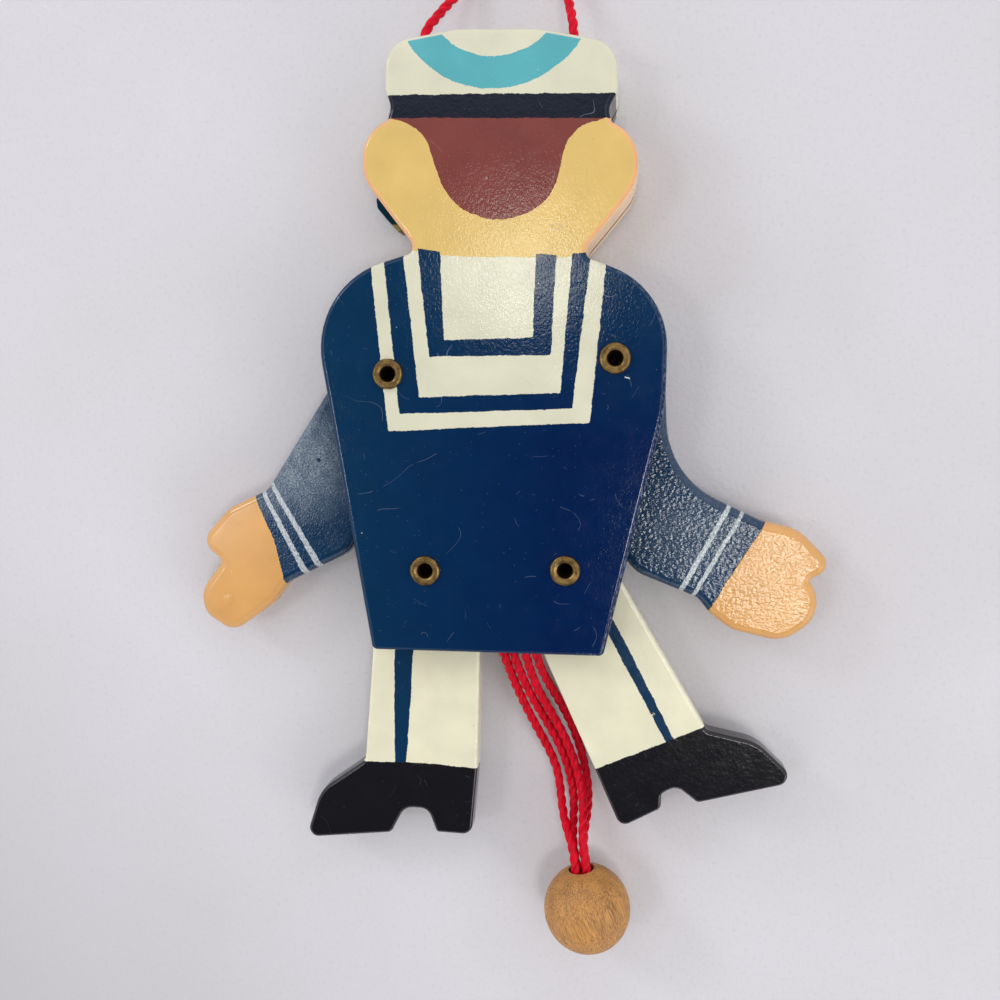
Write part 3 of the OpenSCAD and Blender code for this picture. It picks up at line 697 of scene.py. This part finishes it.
def limbMaterial(limb, kind):
    spec = limbPaint[limb]
    made, tree, shader = newMaterial(f"brushed_enamel_on_wood_{limb}", IOR=1.5)
    ground = paintGround(tree)
    place, plan = ground["place"], ground["plan"]
    painted = {"colour": paint[spec["base"]], "height": 0}
    if "sleeveSheen" in spec:
        # Painted reflection: a pale blue-grey sheen over the sleeve stands in for its hazy gloss
        centre, radius, strength = spec["sleeveSheen"]
        near = ramp(tree, roundDistance(tree, plan, centre, radius), 0, limbWearAndSheen["sheenEdge"] * radius)
        sheenPattern = times(tree, patches(tree, place, *limbWearAndSheen["clouds"]), patches(tree, place, *limbWearAndSheen["sheenPatches"]))
        pale = times(tree, times(tree, near, sheenPattern), strength)
        painted["colour"] = cover(tree, pale, paint[spec["base"]], paint["sleeveSheen"])
    for corners in spec["stripes"]:
        streaks = patches(tree, place, *limbWearAndSheen["streaks"]) if "sleeveSheen" in spec else 1.0
        mask = times(tree, inShape(tree, plan, corners, softness=0.1), streaks)
        coat(tree, painted, mask, paint[spec["stripe"]])
    end = outside(tree, shapeDistance(tree, plan, spec["line"], closed=False))
    coat(tree, painted, end, paint[spec["end"]])
    for centre, radius, name, thickness, width in spec.get("marks", []):
        coat(tree, painted, inRound(tree, plan, centre, radius, width), paint[name], thickness)
    if "chip" in spec:
        chip = times(tree, inRound(tree, plan, *spec["chip"]), patches(tree, place, *limbWearAndSheen["chip"]))
        coat(tree, painted, chip, paint["cream"], 0)
    edgeWearAndShine = {"mask": ramp(tree, end, 1, 0), "strength": kind["strength"], "colour": kind["edgeWearAndShine"]}
    paintFinish(tree, shader, ground, painted, {**limbLook, **spec}, kind["dustAndGlints"], edgeWearAndShine, (end, spec["endDepth"]))
    return made


for limb in limbs:
    kind = limbKinds[limb.split("_")[1]]
    eases = [(levels["limbBack"], kind["ease"]), (levels["limbFront"], limbLook["frontEase"])]
    easedPiece(limb, limb, eases, limbMaterial(limb, kind), [pivots[limb], stringHoles[limb]])
print("limbs made")

# Aged brass eyelets: a tube with a domed, rolled rim at both ends. The rim's points are radius and rise.
eyeletSpec = {
    "bore": 1.25, "wall": 0.35, "around": 72,
    "rim": [(1.25, -2.0), (1.32, -1.0), (1.41, -0.3), (1.5, 0.2), (1.62, 0.5), (1.86, 0.7), (2.2, 0.75), (2.6, 0.7),
            (2.86, 0.72), (3.0, 0.6), (3.1, 0.35), (3.15, 0.08), (3.12, 0.0)],
    "waves": ((0.03, 3), (0.02, 7)), "waveShare": 0.5, "unevenFrom": 2,
    "tones": ("#55432A", "#977C4C"), "age": 1.4, "span": (0.3, 0.7), "roughness": (0.42, 0.3),
    "scratches": (0.12, 0.5, 0.3), "bump": 0.03, "bumpStrength": 0.7,
}
# Aged brass: dull gold with brown patches and fine scratches
brass, tree, shader = newMaterial("aged_brass_eyelet", Metallic=1.0)
place = placeOn(tree)
age = grain(tree, place, eyeletSpec["age"], 3.0)
scratches = grain(tree, place, eyeletSpec["scratches"], 3.0)
feed(tree, shader, {
    "Base Color": tones(tree, ramp(tree, age, *eyeletSpec["span"]), *eyeletSpec["tones"]),
    "Roughness": ramp(tree, age, *eyeletSpec["span"], eyeletSpec["roughness"]),
    "Normal": bump(tree, scratches, eyeletSpec["bump"], eyeletSpec["bumpStrength"])})


def eyeletPiece(limb):
    centre = pivots[limb]
    half = (levels["top"] + levels["front"]) / 2
    barrel = eyeletSpec["bore"] + eyeletSpec["wall"]
    outline = [(r, levels["top"] + z) for r, z in eyeletSpec["rim"]] + [(barrel, levels["top"]), (barrel, half)]
    outline += [(r, 2 * half - z) for r, z in reversed(outline[:-1])]
    mesh = bmesh.new()
    made = [mesh.verts.new((r * mm, 0, z * mm)) for r, z in outline]
    edges = [mesh.edges.new((made[i], made[(i + 1) % len(made)])) for i in range(len(made))]
    bmesh.ops.spin(mesh, geom=made + edges, cent=(0, 0, 0), axis=(0, 0, 1), dvec=(0, 0, 0), angle=2 * math.pi,
                   steps=eyeletSpec["around"], use_merge=True)
    bmesh.ops.recalc_face_normals(mesh, faces=mesh.faces)
    # The set rim is never quite even
    for vert in mesh.verts:
        turn = math.atan2(vert.co.y, vert.co.x)
        uneven = sum(size * math.sin(count * turn + phase)
                     for (size, count), phase in zip(eyeletSpec["waves"], centre))
        if math.hypot(vert.co.x, vert.co.y) / mm > eyeletSpec["unevenFrom"]:
            vert.co.xy *= 1 - abs(uneven) * eyeletSpec["waveShare"]
    bmesh.ops.translate(mesh, verts=mesh.verts, vec=(centre[0] * mm, centre[1] * mm, 0))
    for face in mesh.faces:
        face.smooth = True
    addPiece(f"rolled_{limb}_eyelet", mesh, brass, "body", f"{limb}_eyelet")


for limb in limbs:
    eyeletPiece(limb)
print("eyelets made")

# Turned and waxed beech ball: short fibres that run along its drilled hole
ballSpec = {"centre": (18.5, -86, 9.3), "turn": math.radians(-20), "fibre": (0.22, 3.2, 0.22), "bands": (3, 20, 3),
            "fibreShare": 0.7, "bandShare": 0.3, "span": (0.33, 0.64), "tones": ("#78502A", "#D0954C"),
            "fibreSpan": (0.3, 0.7), "roughness": (0.62, 0.45), "bump": 0.12}
ballWood, tree, shader = newMaterial("turned_wood_ball")
turned = addNode(tree, "ShaderNodeVectorRotate", {"Vector": placeOn(tree), "Center": ballSpec["centre"],
                                                  "Angle": ballSpec["turn"]}, rotation_type="Z_AXIS")
fibre = grain(tree, turned, ballSpec["fibre"], 3.0)
bands = times(tree, grain(tree, turned, ballSpec["bands"]), ballSpec["bandShare"])
mixed = calc(tree, "MULTIPLY_ADD", fibre, ballSpec["fibreShare"], bands)
feed(tree, shader, {"Base Color": tones(tree, ramp(tree, mixed, *ballSpec["span"]), *ballSpec["tones"]),
                    "Roughness": ramp(tree, fibre, *ballSpec["fibreSpan"], ballSpec["roughness"]),
                    "Normal": bump(tree, fibre, ballSpec["bump"])})
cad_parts["pull_ball"].data.materials[0] = ballWood

# The knots' cord shows its spun strands without a UV map
knotSpec = {"tones": ("#9C0820", "#DC1C36"), "bump": 0.15,
            "wave": {"Scale": 0.55, "Distortion": 1.5, "Detail": 2.0, "Detail Scale": 2.0}}
knotCord, tree, shader = newMaterial("knotted_polyester_cord", **{"Roughness": 0.5, "Specular IOR Level": 0.25})
strand = addNode(tree, "ShaderNodeTexWave", {"Vector": placeOn(tree), **knotSpec["wave"]}, out="Fac",
                 bands_direction="DIAGONAL")
feed(tree, shader, {"Base Color": tones(tree, strand, *knotSpec["tones"]),
                    "Normal": bump(tree, strand, knotSpec["bump"])})
for limb in limbs:
    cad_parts[f"{limb}_knot"].data.materials[0] = knotCord

# Floor: a pale board with a fine, soft texture, and painted shade: a little darker past the left shoe, towards -X and
# -Y
floorSpec = {"size": 3.0, "colour": "#D4D2D5", "shadowed": "#D0CDCF", "speckMottleAndShade": "#AFACAE",
             "clouds": (60, 3.0, (0.35, 0.65)), "specks": (17, 0.3, 0.3), "speckStrength": 0.5,
             "slant": (0.7, 0.7, 0), "shadeTowardsCorner": (-80, -175, (0, 0.6)), "mottle": (0.9, 2.0, (0.55, 0.75), (0, 0.2)),
             "bumpGrain": 1.1, "bump": 0.12}
bpy.ops.mesh.primitive_plane_add(size=floorSpec["size"])
floor = bpy.context.object
floor.name = "pale_board"
board, tree, shader = newMaterial("pale_board", Roughness=0.6)
place = placeOn(tree)
towards = vectorCalc(tree, "DOT_PRODUCT", place, floorSpec["slant"], out="Value")
spots = times(tree, specks(tree, place, *floorSpec["specks"]), floorSpec["speckStrength"])
tone = cover(tree, patches(tree, place, *floorSpec["clouds"]), floorSpec["colour"], floorSpec["shadowed"])
# The second mask is painted shade, darker towards -X and -Y
for mask in (spots, ramp(tree, towards, *floorSpec["shadeTowardsCorner"]), patches(tree, place, *floorSpec["mottle"])):
    tone = cover(tree, mask, tone, floorSpec["speckMottleAndShade"])
feed(tree, shader, {"Base Color": tone,
                    "Normal": bump(tree, grain(tree, place, floorSpec["bumpGrain"], 3.0), floorSpec["bump"])})
floor.data.materials.append(board)

# Soft light: an even pale room, a lamp and two small panels at the ceiling, and a window at each side
lamps = [
    {"name": "small_ceiling_lamp", "place": (-106, 230, 1200), "size": 0.14, "energy": 0.32, "colour": "#FFFBF2"},
    {"name": "right_ceiling_panel", "place": (290, -190, 1200), "size": 0.26, "energy": 2.6, "colour": "#FFFCF6"},
    {"name": "left_ceiling_panel", "place": (-650, -60, 1150), "size": 0.24, "energy": 1.4, "colour": "#FAFCFF"},
    {"name": "left_window", "place": (-900, 620, 620), "size": 0.26, "energy": 2.2, "colour": "#F2F7FF"},
    {"name": "right_window", "place": (880, -560, 560), "size": 0.5, "energy": 1.7, "colour": "#FFFDF8"},
]
for spec in lamps:
    light = bpy.data.lights.new(spec["name"], "AREA")
    light.shape = "DISK"
    light.size = spec["size"]
    light.energy = spec["energy"]
    light.color = toLinear(spec["colour"])[:3]
    lamp = bpy.data.objects.new(spec["name"], light)
    scene.collection.objects.link(lamp)
    lamp.location = toPoint(spec["place"])
    lamp.rotation_euler = (-lamp.location).to_track_quat("-Z", "Y").to_euler()

# Each dark part of the room has a soft left, right, low and high edge, in slopes from straight above
roomSpec = {
    "walls": "#F4F4FA", "dark": "#30323A", "backdrop": "#E6E6EA", "strength": 1.13, "lowest": 0.02,
    "above": ((-0.75, -0.5), (0.15, 0.35), (-0.4, -0.3), (0.25, 0.5)),
    "beyondFeet": ((-0.8, -0.5), (0.5, 0.8), (-1.5, -1.1), (-0.34, -0.26)),
}
world = bpy.data.worlds.new("pale_room")
scene.world = world
world.use_nodes = True
tree = world.node_tree
# The room is pale, but dark straight above the toy and beyond its feet, where no light came from
room = tree.nodes["Background"]
outward = axes(tree, addNode(tree, "ShaderNodeTexCoord", out="Generated"))
rise = calc(tree, "MAXIMUM", outward["Z"], roomSpec["lowest"])
across, along = [calc(tree, "DIVIDE", outward[axis], rise) for axis in "XY"]
shades = []
for left, right, low, high in (roomSpec["above"], roomSpec["beyondFeet"]):
    shades.append(times(tree, times(tree, ramp(tree, across, *left), ramp(tree, across, *right, (1, 0))),
                        times(tree, ramp(tree, along, *low), ramp(tree, along, *high, (1, 0)))))
shade = calc(tree, "MAXIMUM", *shades)
feed(tree, room, {"Color": cover(tree, shade, roomSpec["walls"], roomSpec["dark"])})
room.inputs["Strength"].default_value = roomSpec["strength"]
backdrop = addNode(tree, "ShaderNodeBackground", {"Color": toLinear(roomSpec["backdrop"]), "Strength": 1})
seen = addNode(tree, "ShaderNodeLightPath", out="Is Camera Ray")
mixed = addNode(tree, "ShaderNodeMixShader", [seen, room.outputs[0], backdrop])
feed(tree, tree.nodes["World Output"], {"Surface": mixed})
scene.view_settings.view_transform = "Standard"
print("stage made")
